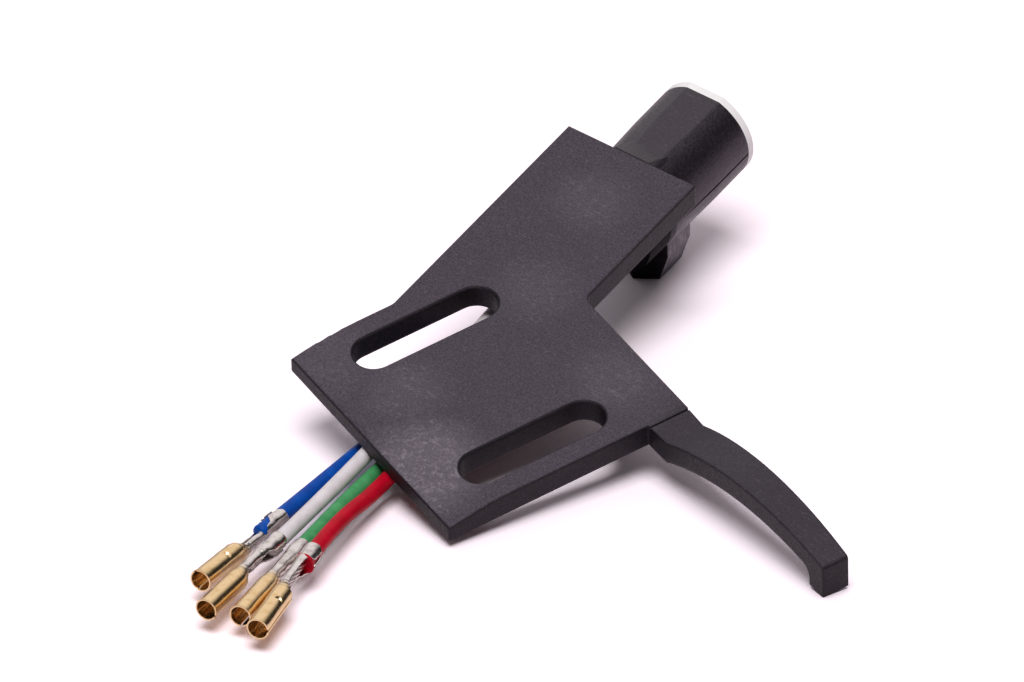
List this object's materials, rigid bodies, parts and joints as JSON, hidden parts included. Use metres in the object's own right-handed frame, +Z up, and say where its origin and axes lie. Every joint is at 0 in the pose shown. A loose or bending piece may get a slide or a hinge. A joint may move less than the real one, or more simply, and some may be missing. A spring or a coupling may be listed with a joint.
{
  "type": "turntable headshell",
  "caption": "Black moulded turntable headshell with offset neck, cartridge slots, finger lift and colour-coded leads ending in gold push-on clips.",
  "frame": {"origin": "on the axis of the neck tube, at its rear end", "axes": "+Y rearward along the neck tube, +X to the finger-lift side, +Z up, with the plate level"},
  "size_m": [0.0421, 0.0612, 0.0147],
  "materials": {
    "moulded_body": "matte moulded, fine grain, light scuffs",
    "terminal_plastic": "satin",
    "contact_metal": "plated",
    "clip_metal": "gold plated barrel, tin plated crimps",
    "strand_metal": "tinned",
    "cover_blue": "soft satin cover",
    "cover_white": "soft satin cover",
    "cover_green": "soft satin cover",
    "cover_red": "soft satin cover"
  },
  "bodies": {
    "root": {"headshell_body": "moulded_body", "terminal_block": "terminal_plastic", "contact_pin_blue": "contact_metal", "lead_blue": "cover_blue", "clip_blue": "clip_metal", "strands_blue": "strand_metal", "contact_pin_white": "contact_metal", "lead_white": "cover_white", "clip_white": "clip_metal", "strands_white": "strand_metal", "contact_pin_green": "contact_metal", "lead_green": "cover_green", "clip_green": "clip_metal", "strands_green": "strand_metal", "contact_pin_red": "contact_metal", "lead_red": "cover_red", "clip_red": "clip_metal", "strands_red": "strand_metal"}
  },
  "joints": []
}
